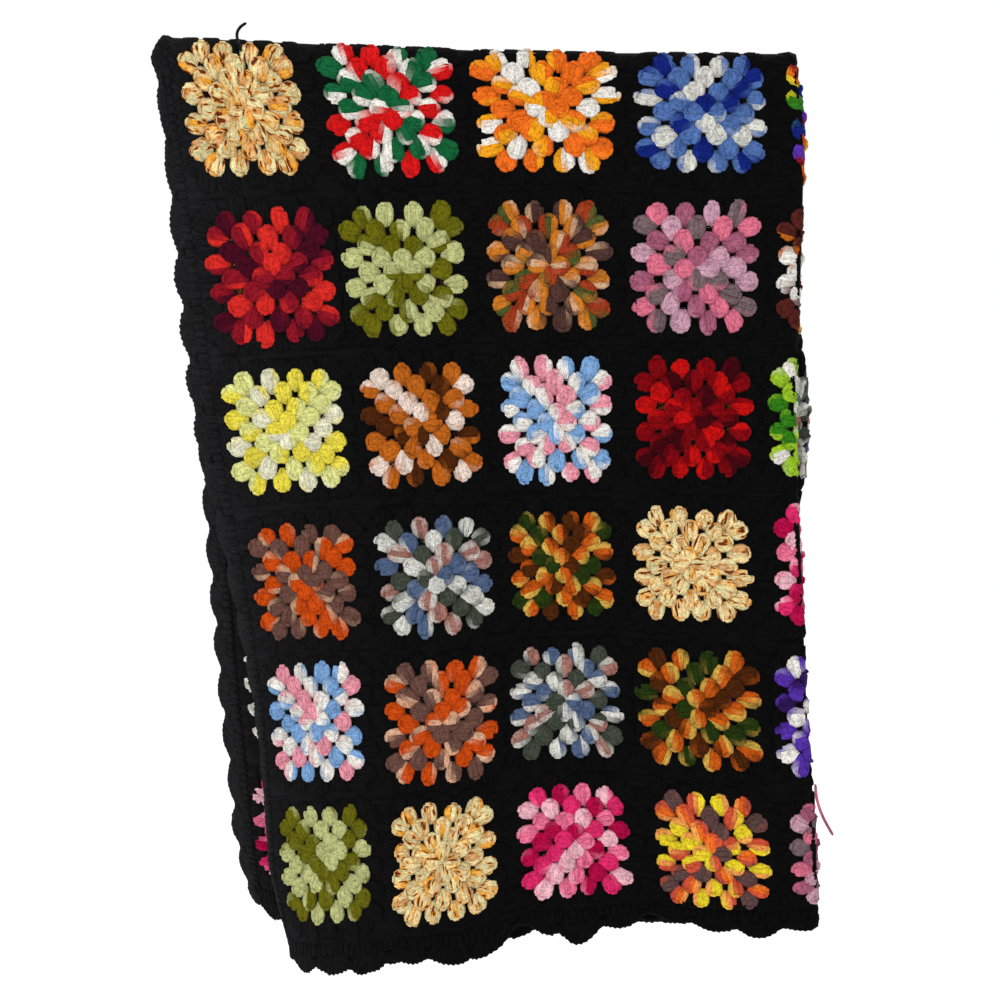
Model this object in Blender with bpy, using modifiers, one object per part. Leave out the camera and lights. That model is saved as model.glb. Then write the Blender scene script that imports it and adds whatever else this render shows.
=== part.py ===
"""Granny square blanket, folded lengthwise and hung in half over a line.

The blanket is one crocheted cloth of eight columns by twelve rows of squares, joined in black and
edged all round with black fans. It is folded once along its length, which makes the fold at the
right-hand side, and then hung over a line across its middle, which makes the fold at the top. So four
layers hang side by side: an outer and an inner one in front, and the same two behind.

Frame: metres, +Z up, the front faces -Y. The origin is on the underside of the top fold, halfway
along it, where the line bears.

The cloth is laid out flat first. A place on it is "across" (from its left selvage towards the right)
and "along" (from the front hem, up over the line, to the back hem). The function hung() bends that
flat place into the folded and hanging cloth.
"""

import math
from collections import namedtuple

import bpy
import numpy as np

# The flat cloth
COLUMNS = 8
ROWS = 12
SQUARE = 0.147              # pitch of the joined squares
EDGING = 0.028              # black fan edging, from the last square to the crest of a fan
FAN_DEPTH = 0.012           # how far a fan's crest stands out past the notch beside it
FANS_PER_SQUARE = 3
THICKNESS = 0.004           # worsted yarn, worked in double crochet
WIDTH = COLUMNS * SQUARE + 2 * EDGING
LENGTH = ROWS * SQUARE + 2 * EDGING

# The two folds
INNER_RADIUS = 0.012        # bend of the inner layer over the line, at mid thickness
LAYER_PITCH = 0.009         # from the inner to the outer layer, mid thickness to mid thickness
OUTER_RADIUS = INNER_RADIUS + LAYER_PITCH
FOLD_RADIUS = LAYER_PITCH / 2
FOLD_ARC = math.pi * FOLD_RADIUS / 2        # cloth used by half of the lengthwise fold
FOLD_COLUMN = 4.26          # squares between the left selvage's joint and the crest of that fold
AXIS_HEIGHT = THICKNESS / 2 - INNER_RADIUS  # bend axis, below the underside of the top fold

# How the front hangs. A row of this table is a level of squares, counted down from the top bend. The
# first six columns are where the first joint, the middles of four squares and the fold stand, from left
# to right. The next four are how far those squares' middles hang below an even drop. The last is the
# share of the left fan edging that faces forward, as the rest turns back. Millimetres.
Level = namedtuple("Level", "row joint first second third fourth fold low1 low2 low3 low4 facing")
FRONT_LEVELS = (
    Level(0.00, -297, -232, -90, 61, 214, 302, -6, 0, 5, 6, 600),
    Level(0.28, -292, -223, -84, 64, 212, 309, -1, -1, -1, 3, 500),
    Level(1.28, -273, -201, -71, 67, 207, 309, 8, 2, -1, 0, 850),
    Level(2.28, -257, -188, -57, 74, 207, 306, 12, 4, 1, -1, 850),
    Level(3.28, -234, -172, -43, 81, 208, 314, 17, 8, -3, -3, 600),
    Level(4.28, -218, -163, -38, 86, 216, 322, 16, 7, -13, -5, 300),
    Level(5.28, -211, -157, -36, 95, 230, 334, 19, 5, -20, -9, 200),
    Level(5.96, -206, -151, -33, 100, 232, 336, 32, 7, -26, -30, 300),
)
SQUARE_MIDDLES = (0.0, 0.5, 1.5, 2.5, 3.5, FOLD_COLUMN)
LAST_DROOP_COLUMN = 4.0     # past this the droop stays as it is

# How the back differs from the top row of the front, at a few levels. Millimetres.
BackLevel = namedtuple("BackLevel", "row joint fold low_left low_right")
BACK_LEVELS = (
    BackLevel(0.0, 0, 0, 0, 0),
    BackLevel(1.3, 19, 4, 4, -3),
    BackLevel(2.4, 32, 22, 6, -6),
    BackLevel(3.3, 39, 6, 8, -12),
    BackLevel(4.3, 47, 6, 8, -18),
    BackLevel(5.3, 57, 18, 8, -26),
    BackLevel(5.96, 52, 20, 8, -34),
)
BACK_FACING = 0.75

# Swings and flutes, all growing from nothing at the top to full at the hem
HEM_ROW = 6.0
LEFT_SWING = 0.052          # the left side of all the layers turns back towards the hem
LEFT_SWING_POWER = 1.5
LEFT_SWING_COLUMNS = 2.4
LEFT_SWING_END = 2.2
LEFT_CURL = 0.024           # the front's left side curls back further
LEFT_CURL_COLUMNS = 0.9
CREASE_DEPTH = 0.012        # soft upright crease along the joint of the second and third squares
CREASE_COLUMN = 2.0
CREASE_START_ROW = 1.5
CREASE_GROWTH_ROWS = 2.5
CREASE_HALF_WIDTH = 0.34
FLUTE = 0.006
FLUTE_COLUMNS = 2.6
FLUTE_PHASE = 0.1
FRONT_LEAN = 0.010          # each side hangs a little clear of the other, by a share that waves
BACK_LEAN = 0.014
LEAN_SHARE = 0.7
LEAN_WAVE = 0.3
LEAN_WAVE_COLUMNS = 3.1
FRONT_LEAN_PHASE = 0.2
BACK_LEAN_PHASE = 0.55
INNER_LIFT = 0.018          # the inner layer hangs a little shorter
CORNER_PULL = 0.020         # the lower left corner droops into a round
CORNER_ROW = 5.2
CORNER_ROWS = 0.9
CORNER_COLUMN = 0.4
CORNER_COLUMNS = 0.6
RIDGE_TUCK = 0.5            # the left fan edging draws in where it passes over the line

# Two loose yarn ends: one down the lengthwise fold, one up over the line. Each is a route of points
# from its root, which lies a hair's breadth clear of the cloth, to its bare tip.
YARN_RADIUS = 0.0015
ROUTE_STEP = 0.006
BEVEL_STEPS = 2
SIDE_YARN_ROUTE = (
    (0.3326, -0.0260, -0.7080),
    (0.3333, -0.0262, -0.7165),
    (0.3350, -0.0268, -0.7255),
    (0.3380, -0.0278, -0.7350),
    (0.3420, -0.0288, -0.7440),
    (0.3465, -0.0296, -0.7520),
    (0.3505, -0.0300, -0.7590),
)
TOP_YARN_ROUTE = (
    (-0.2262, -0.0221, 0.0076),
    (-0.2280, -0.0177, 0.0136),
    (-0.2300, -0.0117, 0.0180),
    (-0.2312, -0.0080, 0.0222),
    (-0.2306, -0.0055, 0.0268),
    (-0.2275, -0.0040, 0.0312),
    (-0.2225, -0.0030, 0.0345),
)

# Open spaces of each square that are cut through, from its middle, in squares, and their size
SPACES = ((-0.245, 0.086), (0.245, -0.086))
SPACE_WIDTH = 0.0055
SPACE_HEIGHT = 0.0065
SPACE_MARGIN = 0.006        # a space this close to a cloth line is left closed

CELLS_PER_SQUARE = 3
FOLD_STEPS = 4
FOLD_CLEAR_COLUMNS = 0.2    # no plain cloth line this close to the lengthwise fold
FAN_STEPS = 4
FAN_ROUNDNESS = 0.8


def remove_everything():
    for thing in list(bpy.data.objects):
        bpy.data.objects.remove(thing, do_unlink=True)


def eased(value):
    """Slow-in, slow-out ramp from 0 to 1."""
    value = np.clip(value, 0.0, 1.0)
    return value * value * (3.0 - 2.0 * value)


def spline_weights(knots, places):
    """Weights of the knots' values at some places, on a smooth curve that runs straight past its ends."""
    knots = np.asarray(knots, dtype=float)
    count = len(knots)
    at_knot = np.eye(count)
    slope = np.empty((count, count))
    slope[1:-1] = (at_knot[2:] - at_knot[:-2]) / (knots[2:] - knots[:-2])[:, None]
    slope[0] = (at_knot[1] - at_knot[0]) / (knots[1] - knots[0])
    slope[-1] = (at_knot[-1] - at_knot[-2]) / (knots[-1] - knots[-2])
    inside = np.clip(places, knots[0], knots[-1])
    span = np.clip(np.searchsorted(knots, inside, side="right") - 1, 0, count - 2)
    step = (knots[span + 1] - knots[span])[:, None]
    t = (inside - knots[span])[:, None] / step
    weights = (2 * t**3 - 3 * t**2 + 1) * at_knot[span]
    weights += (t**3 - 2 * t**2 + t) * step * slope[span]
    weights += (3 * t**2 - 2 * t**3) * at_knot[span + 1]
    weights += (t**3 - t**2) * step * slope[span + 1]
    past = (places - inside)[:, None]
    return weights + past * np.where(past < 0, slope[0], slope[-1])


def hang_front(column, row):
    """Sideways place, extra droop and facing share of the front at a column and row of squares."""
    table = np.array(FRONT_LEVELS) / 1000.0
    down = spline_weights([level.row for level in FRONT_LEVELS], row)
    across = spline_weights(SQUARE_MIDDLES, np.maximum(column, 0.0))
    droop_across = spline_weights(SQUARE_MIDDLES[1:5], np.minimum(column, LAST_DROOP_COLUMN))
    sideways = np.sum(down @ table[:, 1:7] * across, axis=1)
    droop = np.sum(down @ table[:, 7:11] * droop_across, axis=1)
    return sideways, droop, down @ table[:, 11]


def hang_back(column, row):
    """Sideways place and extra droop of the back, counted from the front's top row."""
    sideways, droop, _ = hang_front(column, np.zeros_like(row))
    table = np.array(BACK_LEVELS) / 1000.0
    down = spline_weights([level.row for level in BACK_LEVELS], row) @ table[:, 1:]
    share = np.maximum(column, 0.0) / FOLD_COLUMN
    sideways += down[:, 0] * (1 - share) + down[:, 1] * share
    droop += down[:, 2] * (1 - share) + down[:, 3] * share
    return sideways, droop, np.full_like(row, BACK_FACING)


def swing(column, row):
    """How far all the layers stand back together."""
    left = LEFT_SWING * (row / HEM_ROW) ** LEFT_SWING_POWER
    left *= eased((LEFT_SWING_END - column) / LEFT_SWING_COLUMNS)
    crease = CREASE_DEPTH * np.exp(-(((column - CREASE_COLUMN) / CREASE_HALF_WIDTH) ** 2))
    crease *= eased((row - CREASE_START_ROW) / CREASE_GROWTH_ROWS)
    flute = FLUTE * row / HEM_ROW * np.sin(2 * math.pi * (column / FLUTE_COLUMNS + FLUTE_PHASE))
    return left + crease + flute


def lengthwise_fold(across):
    """Distance to the right of the fold's straight part, and bend radius over the line."""
    past = across - (EDGING + FOLD_COLUMN * SQUARE)
    angle = np.clip(past / FOLD_RADIUS, -math.pi / 2, math.pi / 2)
    straight = np.maximum(np.abs(past) - FOLD_ARC, 0.0)
    beside = FOLD_RADIUS * (np.cos(angle) - 1.0) - straight
    radius = INNER_RADIUS + FOLD_RADIUS * (1.0 - np.sin(angle))
    return beside, radius


def hung(across, along):
    """Place of the cloth's middle surface in space, for arrays of flat places."""
    beside, radius = lengthwise_fold(across)
    column = FOLD_COLUMN + beside / SQUARE
    from_top = along - LENGTH / 2
    turn = np.clip(from_top / radius, -math.pi / 2, math.pi / 2)
    drop = np.maximum(np.abs(from_top) - radius * np.abs(turn), 0.0)
    row = drop / SQUARE
    behind = from_top > 0
    side, droop, facing = np.where(behind, hang_back(column, row), hang_front(column, row))
    corner = CORNER_PULL * eased((row - CORNER_ROW) / CORNER_ROWS)
    corner *= eased((CORNER_COLUMN - column) / CORNER_COLUMNS)
    lean = np.where(behind, BACK_LEAN, FRONT_LEAN) * row / HEM_ROW
    phase = column / LEAN_WAVE_COLUMNS + np.where(behind, BACK_LEAN_PHASE, FRONT_LEAN_PHASE)
    lean *= LEAN_SHARE + LEAN_WAVE * np.sin(2 * math.pi * phase)
    curl = np.where(behind, 0.0, LEFT_CURL) * (row / HEM_ROW) ** 2
    curl *= np.clip(LEFT_CURL_COLUMNS - column, 0.0, LEFT_CURL_COLUMNS) ** 2
    fans = np.maximum(-column, 0.0) * SQUARE * (1.0 - RIDGE_TUCK * np.cos(turn))
    x = side - fans * facing + corner
    y = (radius + lean) * np.sin(turn) + swing(column, row) + curl
    y += fans * np.sqrt(1.0 - facing**2) * eased(row)
    inner = (OUTER_RADIUS - radius) / LAYER_PITCH
    z = AXIS_HEIGHT + radius * np.cos(turn) - drop - droop + corner
    z += inner * INNER_LIFT * row / HEM_ROW
    return np.stack([x, y, z], axis=1)


def across_stations():
    """Cloth lines across the blanket: thirds of a square, closer round the lengthwise fold."""
    thirds = np.arange(COLUMNS * CELLS_PER_SQUARE + 1) / CELLS_PER_SQUARE
    thirds = thirds[np.abs(thirds - FOLD_COLUMN) > FOLD_CLEAR_COLUMNS]
    bend = FOLD_COLUMN + np.linspace(-FOLD_ARC, FOLD_ARC, FOLD_STEPS + 1) / SQUARE
    return EDGING + SQUARE * np.sort(np.concatenate([thirds, bend]))


def along_stations():
    """Cloth lines along the blanket: thirds of a square, closer over the line."""
    half = ROWS * CELLS_PER_SQUARE // 2
    thirds = SQUARE * np.arange(-half, half + 1) / CELLS_PER_SQUARE
    inner_end = INNER_RADIUS * math.pi / 2
    outer_end = OUTER_RADIUS * math.pi / 2
    bends = np.array([inner_end / 2, inner_end, (inner_end + outer_end) / 2, outer_end])
    return LENGTH / 2 + np.sort(np.concatenate([thirds, bends, -bends]))


def edging_depth(place):
    """Depth of the fan edging at a place along a side, counted from its first square."""
    wave = np.abs(np.sin(math.pi * FANS_PER_SQUARE * place / SQUARE))
    return EDGING - FAN_DEPTH + FAN_DEPTH * wave**FAN_ROUNDNESS


class FlatCloth:
    """Points and faces of the flat cloth, before it is hung."""

    def __init__(self):
        self.points = []
        self.faces = []

    def point(self, across, along):
        self.points.append((across, along))
        return len(self.points) - 1

    def face(self, *corners):
        self.faces.append(corners)


def add_cell(cloth, corners, space):
    """One quad of cloth, or four round an open space given by its middle."""
    if space is None:
        cloth.face(*corners)
        return
    half_width = SPACE_WIDTH / 2
    half_height = SPACE_HEIGHT / 2
    rim = []
    for side, up in ((-1, -1), (1, -1), (1, 1), (-1, 1)):
        rim.append(cloth.point(space[0] + side * half_width, space[1] + up * half_height))
    for i in range(4):
        j = (i + 1) % 4
        cloth.face(corners[i], corners[j], rim[j], rim[i])


def find_space(left, right, low, high):
    """Middle of the open space that lies well inside a cell, if there is one."""
    for offset_across, offset_along in SPACES:
        column = math.floor(((left + right) / 2 - EDGING) / SQUARE)
        row = math.floor(((low + high) / 2 - EDGING) / SQUARE)
        middle_across = EDGING + (column + 0.5 + offset_across) * SQUARE
        middle_along = EDGING + (row + 0.5 + offset_along) * SQUARE
        clear_across = left + SPACE_MARGIN < middle_across < right - SPACE_MARGIN
        clear_along = low + SPACE_MARGIN < middle_along < high - SPACE_MARGIN
        if clear_across and clear_along:
            return middle_across, middle_along
    return None


def add_squares(cloth, across, along):
    """The joined squares, as a grid with its open spaces; returns the grid's point numbers."""
    grid = [[cloth.point(a, b) for b in along] for a in across]
    for i in range(len(across) - 1):
        for j in range(len(along) - 1):
            corners = (grid[i][j], grid[i + 1][j], grid[i + 1][j + 1], grid[i][j + 1])
            space = find_space(across[i], across[i + 1], along[j], along[j + 1])
            add_cell(cloth, corners, space)
    return grid


def add_fans(cloth, inner, places, to_flat, turned):
    """Fan edging along one side; returns its two end points.

    inner holds the side's point numbers, places their distances along it, and to_flat turns a
    distance and a depth into a flat place.
    """
    outer = [cloth.point(*to_flat(places[0], edging_depth(places[0])))]
    first = outer[0]
    longest = SQUARE / FANS_PER_SQUARE
    for i in range(len(places) - 1):
        length = places[i + 1] - places[i]
        steps = max(1, round(FAN_STEPS * length / longest))
        rim = [first]
        for k in range(1, steps + 1):
            place = places[i] + length * k / steps
            rim.append(cloth.point(*to_flat(place, edging_depth(place))))
        middle = steps // 2
        for k in range(steps):
            root = inner[i] if k < middle else inner[i + 1]
            corners = (root, rim[k], rim[k + 1])
            cloth.face(*(corners[::-1] if turned else corners))
        corners = (inner[i], rim[middle], inner[i + 1])
        cloth.face(*(corners[::-1] if turned else corners))
        first = rim[-1]
    return outer[0], first


def add_corner(cloth, root, start, end, middle, toward_start, toward_end):
    """Quarter fan that rounds a corner, from the end of one side's edging to the next one's start."""
    rim = [start]
    for k in range(1, FAN_STEPS):
        angle = math.pi / 2 * k / FAN_STEPS
        reach = EDGING - FAN_DEPTH + FAN_DEPTH * math.sin(2 * angle) ** FAN_ROUNDNESS
        across = middle[0] + reach * (math.cos(angle) * toward_start[0] + math.sin(angle) * toward_end[0])
        along = middle[1] + reach * (math.cos(angle) * toward_start[1] + math.sin(angle) * toward_end[1])
        rim.append(cloth.point(across, along))
    rim.append(end)
    for k in range(FAN_STEPS):
        cloth.face(root, rim[k], rim[k + 1])


def blanket_cloth():
    """The whole flat cloth: squares, four sides of edging and four corners."""
    cloth = FlatCloth()
    across = across_stations()
    along = along_stations()
    grid = add_squares(cloth, across, along)
    squares_wide = WIDTH - EDGING
    squares_long = LENGTH - EDGING
    front = add_fans(cloth, [line[0] for line in grid], across - EDGING,
                     lambda place, depth: (EDGING + place, EDGING - depth), False)
    back = add_fans(cloth, [line[-1] for line in grid], across - EDGING,
                    lambda place, depth: (EDGING + place, squares_long + depth), True)
    left = add_fans(cloth, grid[0], along - EDGING,
                    lambda place, depth: (EDGING - depth, EDGING + place), True)
    right = add_fans(cloth, grid[-1], along - EDGING,
                     lambda place, depth: (squares_wide + depth, EDGING + place), False)
    add_corner(cloth, grid[0][0], left[0], front[0], (EDGING, EDGING), (-1, 0), (0, -1))
    add_corner(cloth, grid[-1][0], front[1], right[0], (squares_wide, EDGING), (0, -1), (1, 0))
    add_corner(cloth, grid[-1][-1], right[1], back[1], (squares_wide, squares_long), (1, 0), (0, 1))
    add_corner(cloth, grid[0][-1], back[0], left[1], (EDGING, squares_long), (0, 1), (-1, 0))
    return cloth


def yarn_material(name, colour):
    material = bpy.data.materials.new(name)
    material.use_nodes = True
    shader = material.node_tree.nodes["Principled BSDF"]
    shader.inputs["Base Color"].default_value = (*colour, 1.0)
    shader.inputs["Roughness"].default_value = 0.9
    shader.inputs["Metallic"].default_value = 0.0
    return material


def make_blanket(collection, material):
    """One solid: the hung middle surface, thickened to both sides."""
    cloth = blanket_cloth()
    flat = np.array(cloth.points)
    mesh = bpy.data.meshes.new("blanket")
    mesh.from_pydata(hung(flat[:, 0], flat[:, 1]).tolist(), [], cloth.faces)
    mesh.shade_smooth()
    blanket = bpy.data.objects.new("blanket", mesh)
    blanket.data.materials.append(material)
    thickening = blanket.modifiers.new("thickness", "SOLIDIFY")
    thickening.thickness = THICKNESS
    thickening.offset = 0.0
    thickening.use_even_offset = True
    collection.objects.link(blanket)


def smooth_route(points):
    """Even points along a smooth curve through a route's own points."""
    points = np.array(points)
    chords = np.linalg.norm(np.diff(points, axis=0), axis=1)
    reach = np.concatenate([[0.0], np.cumsum(chords)])
    count = round(reach[-1] / ROUTE_STEP) + 1
    return spline_weights(reach, np.linspace(0.0, reach[-1], count)) @ points


def make_yarn_end(collection, name, route, material):
    """A plain round strand with closed ends."""
    curve = bpy.data.curves.new(name, "CURVE")
    curve.dimensions = "3D"
    curve.bevel_depth = YARN_RADIUS
    curve.bevel_resolution = BEVEL_STEPS
    curve.use_fill_caps = True
    places = smooth_route(route)
    strand = curve.splines.new("POLY")
    strand.points.add(len(places) - 1)
    for point, place in zip(strand.points, places):
        point.co = (*place, 1.0)
    curve.materials.append(material)
    collection.objects.link(bpy.data.objects.new(name, curve))


def main():
    remove_everything()
    collection = bpy.data.collections.new("granny square blanket")
    bpy.context.scene.collection.children.link(collection)
    black = yarn_material("black yarn", (0.012, 0.012, 0.013))
    pink = yarn_material("pink-mauve yarn", (0.33, 0.13, 0.17))
    make_blanket(collection, black)
    make_yarn_end(collection, "side_yarn_end", SIDE_YARN_ROUTE, pink)
    make_yarn_end(collection, "top_yarn_end", TOP_YARN_ROUTE, black)


main()
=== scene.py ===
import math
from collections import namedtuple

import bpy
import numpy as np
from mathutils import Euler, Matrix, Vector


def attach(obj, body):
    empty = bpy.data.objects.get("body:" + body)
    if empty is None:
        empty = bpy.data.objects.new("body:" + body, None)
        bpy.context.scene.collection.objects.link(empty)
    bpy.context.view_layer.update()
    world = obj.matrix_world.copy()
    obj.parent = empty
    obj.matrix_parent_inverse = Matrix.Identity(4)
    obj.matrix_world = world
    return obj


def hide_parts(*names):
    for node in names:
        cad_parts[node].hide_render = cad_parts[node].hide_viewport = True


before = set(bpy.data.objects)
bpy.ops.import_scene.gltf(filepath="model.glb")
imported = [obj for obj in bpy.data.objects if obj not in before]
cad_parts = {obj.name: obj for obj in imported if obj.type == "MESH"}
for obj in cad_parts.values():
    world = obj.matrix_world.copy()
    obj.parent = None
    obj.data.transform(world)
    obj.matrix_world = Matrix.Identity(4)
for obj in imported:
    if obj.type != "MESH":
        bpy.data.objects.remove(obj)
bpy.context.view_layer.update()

# Granny square blanket: every stitch of its squares, joins and fans, over a thin net of black cloth.
#
# The blanket is laid out flat first. A place on it is "across" (from its left selvage) and "along" (from
# the front hem, up over the line, to the back hem). hung() bends that flat place into the hanging cloth,
# in the same way as the solid blanket, and place() adds a height above the right side of the cloth.

RANDOM = np.random.default_rng(12)

# The flat cloth, in metres
COLUMNS = 8
OUTER_COLUMNS = 5           # the columns that show on the outside of the lengthwise fold
ROWS = 12
SQUARE = 0.147
EDGING = 0.028
FAN_DEPTH = 0.012
FANS_PER_SQUARE = 3
FAN_ROUNDNESS = 0.8
LENGTH = ROWS * SQUARE + 2 * EDGING

# The two folds
INNER_RADIUS = 0.012
LAYER_PITCH = 0.009
OUTER_RADIUS = INNER_RADIUS + LAYER_PITCH
FOLD_RADIUS = LAYER_PITCH / 2
FOLD_ARC = math.pi * FOLD_RADIUS / 2
FOLD_COLUMN = 4.26
AXIS_HEIGHT = 0.002 - INNER_RADIUS

# How the front hangs, level by level: where the first joint, the middles of four squares and the fold
# stand, how far those squares droop, and the share of the left edging that faces forward. Millimetres.
Level = namedtuple("Level", "row joint first second third fourth fold low1 low2 low3 low4 facing")
FRONT_LEVELS = (
    Level(0.00, -297, -232, -90, 61, 214, 302, -6, 0, 5, 6, 600),
    Level(0.28, -292, -223, -84, 64, 212, 309, -1, -1, -1, 3, 500),
    Level(1.28, -273, -201, -71, 67, 207, 309, 8, 2, -1, 0, 850),
    Level(2.28, -257, -188, -57, 74, 207, 306, 12, 4, 1, -1, 850),
    Level(3.28, -234, -172, -43, 81, 208, 314, 17, 8, -3, -3, 600),
    Level(4.28, -218, -163, -38, 86, 216, 322, 16, 7, -13, -5, 300),
    Level(5.28, -211, -157, -36, 95, 230, 334, 19, 5, -20, -9, 200),
    Level(5.96, -206, -151, -33, 100, 232, 336, 32, 7, -26, -30, 300),
)
SQUARE_MIDDLES = (0.0, 0.5, 1.5, 2.5, 3.5, FOLD_COLUMN)
LAST_DROOP_COLUMN = 4.0

# How the back differs from the top row of the front, at a few levels. Millimetres.
BackLevel = namedtuple("BackLevel", "row joint fold low_left low_right")
BACK_LEVELS = (
    BackLevel(0.0, 0, 0, 0, 0),
    BackLevel(1.3, 19, 4, 4, -3),
    BackLevel(2.4, 32, 22, 6, -6),
    BackLevel(3.3, 39, 6, 8, -12),
    BackLevel(4.3, 47, 6, 8, -18),
    BackLevel(5.3, 57, 18, 8, -26),
    BackLevel(5.96, 52, 20, 8, -34),
)
BACK_FACING = 0.75

# Swings and flutes, all growing from nothing at the top to full at the hem
HEM_ROW = 6.0
LEFT_SWING = 0.052
LEFT_SWING_POWER = 1.5
LEFT_SWING_COLUMNS = 2.4
LEFT_SWING_END = 2.2
LEFT_CURL = 0.024
LEFT_CURL_COLUMNS = 0.9
CREASE_DEPTH = 0.012
CREASE_COLUMN = 2.0
CREASE_START_ROW = 1.5
CREASE_GROWTH_ROWS = 2.5
CREASE_HALF_WIDTH = 0.34
FLUTE = 0.006
FLUTE_COLUMNS = 2.6
FLUTE_PHASE = 0.1
FRONT_LEAN = 0.010
BACK_LEAN = 0.014
LEAN_SHARE = 0.7
LEAN_WAVE = 0.3
LEAN_WAVE_COLUMNS = 3.1
FRONT_LEAN_PHASE = 0.2
BACK_LEAN_PHASE = 0.55
INNER_LIFT = 0.018
CORNER_PULL = 0.020
CORNER_ROW = 5.2
CORNER_ROWS = 0.9
CORNER_COLUMN = 0.4
CORNER_COLUMNS = 0.6
RIDGE_TUCK = 0.5

# Where the front hem's fans curl up or hang down: place and half width in columns, height in millimetres
HemCurl = namedtuple("HemCurl", "column width height")
HEM_CURLS = (
    HemCurl(0.72, 0.08, -7),
    HemCurl(1.14, 0.12, 6),
    HemCurl(1.68, 0.12, -9),
    HemCurl(2.10, 0.13, 16),
    HemCurl(2.48, 0.16, -11),
    HemCurl(3.08, 0.20, 12),
    HemCurl(3.84, 0.22, -8),
)
CURL_START_ROW = 5.71
CURL_ROWS = 0.25

# One square, in metres from its middle: five rounds of three-stitch clusters
TIP_RADII = (0.0205, 0.0340, 0.0478, 0.0616, 0.0720)
CLUSTER_HEIGHT = 0.0245
CLUSTER_PITCH = 0.0265
CORNER_SLIDE = 0.0065       # how much nearer the middle line a corner cluster's root is than its tip
TIP_SPREAD = 0.0044         # between the three stitches of a cluster, at their tips
ROOT_SPREAD = 0.0024
SIDE_BOW = 0.0022           # how far the outer two stitches bulge out halfway up
SIDE_SHORTER = 0.0010       # the outer two stitches end below the middle one
STITCH_GIRTH = 0.0051       # half the width of a stitch at its fattest
STITCH_DEPTH = 0.0028
LOOP_REACH = 0.0062         # half the width of the loop over a cluster's tips
LOOP_BELOW = 0.0041
LOOP_BOW = 0.0030
LOOP_GIRTH = 0.0021
LOOP_LIFT = 0.0034
# painted highlight: the loops over the tips are painted this many times lighter than the tips
LOOP_PAINTED_HIGHLIGHT = 1.06
LOOP_AHEAD = 1.0            # the loop's yarn is this many stitches further on
CROWN_PAINTED_HIGHLIGHT = 0.10        # painted highlight: the crown of a stitch is painted lighter than the crease on each side
# painted shade in the creases at both sides of a stitch
CREASE_PAINTED_SHADE = 0.52
# painted shade towards the root of a stitch, where it lies behind the round before
ROOT_SHADE = 0.74
ROOT_SHADE_REACH = 0.30
ROOT_SINK = 0.0008          # the roots lie behind the tips of the round before
TIP_RISE = 0.0006
COLOUR_REACH = 0.0645
TOP_ROW_PLUMPER = 1.09      # the row below the fold is worked with fatter stitches
LAST_COLOUR_ROUND = 4
FIRST_ROUND_SHORTER = 0.001     # the first round's clusters are this much shorter, at their roots
CORNER_TIP_OUT = 0.001      # a corner cluster's tip stands this much past its pitch
CORNER_TIP_IN = 0.0015      # and this much nearer the square's middle
MID_COLOUR_AHEAD = 0.35     # how far along the yarn a stitch's middle and tip are from its root
TIP_COLOUR_AHEAD = 0.7
STITCH_LIFT = 0.0009
SIDE_LIFT_LESS = 0.0004

# Spreads of the maker's unevenness: metres, degrees for a square's lean, and shares of the size or shade
ROOT_STRAY = 0.0009
TIP_STRAY = 0.0014
STITCH_TIP_STRAY = 0.0004
LEAN_STRAY = 1.0
SHADE_STRAY = 0.07
PLUMP_STRAY = 0.07
GIRTH_STRAY = 0.05
DEPTH_STRAY = 0.06
LIFT_STRAY = 0.0003
LOOP_STRAY = 0.08
LOOP_BEND_STRAY = 0.12

CLOTH_THICKNESS = 0.0014


def eased(value):
    """Slow-in, slow-out ramp from 0 to 1: 3v^2 - 2v^3."""
    value = np.clip(value, 0.0, 1.0)
    return value * value * (3.0 - 2.0 * value)


def spline_weights(knots, places):
    """Weights of the knots' values at some places, on a smooth curve that runs straight past its ends.

    A cubic between each pair of knots, whose slope at a knot is that of the line from the knot before to
    the knot after.
    """
    knots = np.asarray(knots, dtype=float)
    count = len(knots)
    at_knot = np.eye(count)
    slope = np.empty((count, count))
    slope[1:-1] = (at_knot[2:] - at_knot[:-2]) / (knots[2:] - knots[:-2])[:, None]
    slope[0] = (at_knot[1] - at_knot[0]) / (knots[1] - knots[0])
    slope[-1] = (at_knot[-1] - at_knot[-2]) / (knots[-1] - knots[-2])
    inside = np.clip(places, knots[0], knots[-1])
    span = np.clip(np.searchsorted(knots, inside, side="right") - 1, 0, count - 2)
    step = (knots[span + 1] - knots[span])[:, None]
    t = (inside - knots[span])[:, None] / step
    weights = (2 * t**3 - 3 * t**2 + 1) * at_knot[span]
    weights += (t**3 - 2 * t**2 + t) * step * slope[span]
    weights += (3 * t**2 - 2 * t**3) * at_knot[span + 1]
    weights += (t**3 - t**2) * step * slope[span + 1]
    past = (places - inside)[:, None]
    return weights + past * np.where(past < 0, slope[0], slope[-1])


def hang_front(column, row):
    """Sideways place, extra droop and facing share of the front: the table's splines down and across."""
    table = np.array(FRONT_LEVELS) / 1000.0
    down = spline_weights([level.row for level in FRONT_LEVELS], row)
    across = spline_weights(SQUARE_MIDDLES, np.maximum(column, 0.0))
    droop_across = spline_weights(SQUARE_MIDDLES[1:5], np.minimum(column, LAST_DROOP_COLUMN))
    sideways = np.sum(down @ table[:, 1:7] * across, axis=1)
    droop = np.sum(down @ table[:, 7:11] * droop_across, axis=1)
    return sideways, droop, down @ table[:, 11]


def hang_back(column, row):
    """Sideways place and extra droop of the back, shared out between its left joint and its fold."""
    sideways, droop, _ = hang_front(column, np.zeros_like(row))
    table = np.array(BACK_LEVELS) / 1000.0
    down = spline_weights([level.row for level in BACK_LEVELS], row) @ table[:, 1:]
    share = np.maximum(column, 0.0) / FOLD_COLUMN
    sideways += down[:, 0] * (1 - share) + down[:, 1] * share
    droop += down[:, 2] * (1 - share) + down[:, 3] * share
    return sideways, droop, np.full_like(row, BACK_FACING)


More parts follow.
